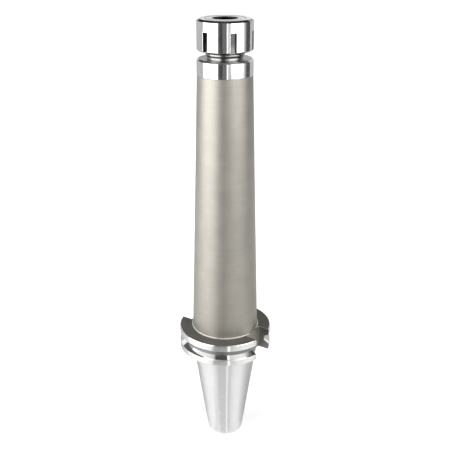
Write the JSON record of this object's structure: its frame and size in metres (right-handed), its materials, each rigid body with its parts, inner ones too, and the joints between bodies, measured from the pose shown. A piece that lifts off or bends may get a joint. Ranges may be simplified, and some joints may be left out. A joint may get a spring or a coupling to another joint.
{
  "type": "collet chuck holder",
  "caption": "V-flange tool holder with a steep taper shank, a long tapered extension and a collet chuck nose closed by a round slotted clamping nut.",
  "frame": {"origin": "centre of the taper's gauge line, where the shank is 44.45 mm across", "axes": "+Z along the holder's axis from the shank to the nut; the two drive keyways face +X and -X"},
  "size_m": [0.0614, 0.0634, 0.2969],
  "materials": {
    "holder_steel": "satin",
    "screw_steel": "black oxide",
    "nut_steel": "fine ground and polished",
    "ring_steel": "fine turned"
  },
  "bodies": {
    "holder": {"holder_body": "holder_steel"},
    "stop": {"stop_screw": "screw_steel"},
    "ring": {"thrust_ring": "ring_steel"},
    "nut": {"clamping_nut": "nut_steel", "filling_plug": "nut_steel"}
  },
  "joints": [
    {"name": "stop_travel", "type": "slide", "parent": "holder", "child": "stop", "axis": [0, 0, 1], "range_m": [-0.0175, 0.005]},
    {"name": "nut_travel", "type": "slide", "parent": "holder", "child": "ring", "axis": [0, 0, 1], "range_m": [-0.00138, 0.0075]},
    {"name": "nut_turn", "type": "hinge", "parent": "ring", "child": "nut", "pos_m": [0, 0, 0.2191], "axis": [0, 0, 1], "range_deg": [-330, 1800]}
  ],
  "couplings": [
    {"joint": "nut_travel", "follows": "nut_turn", "m_per_rad": 0.00023873}
  ]
}
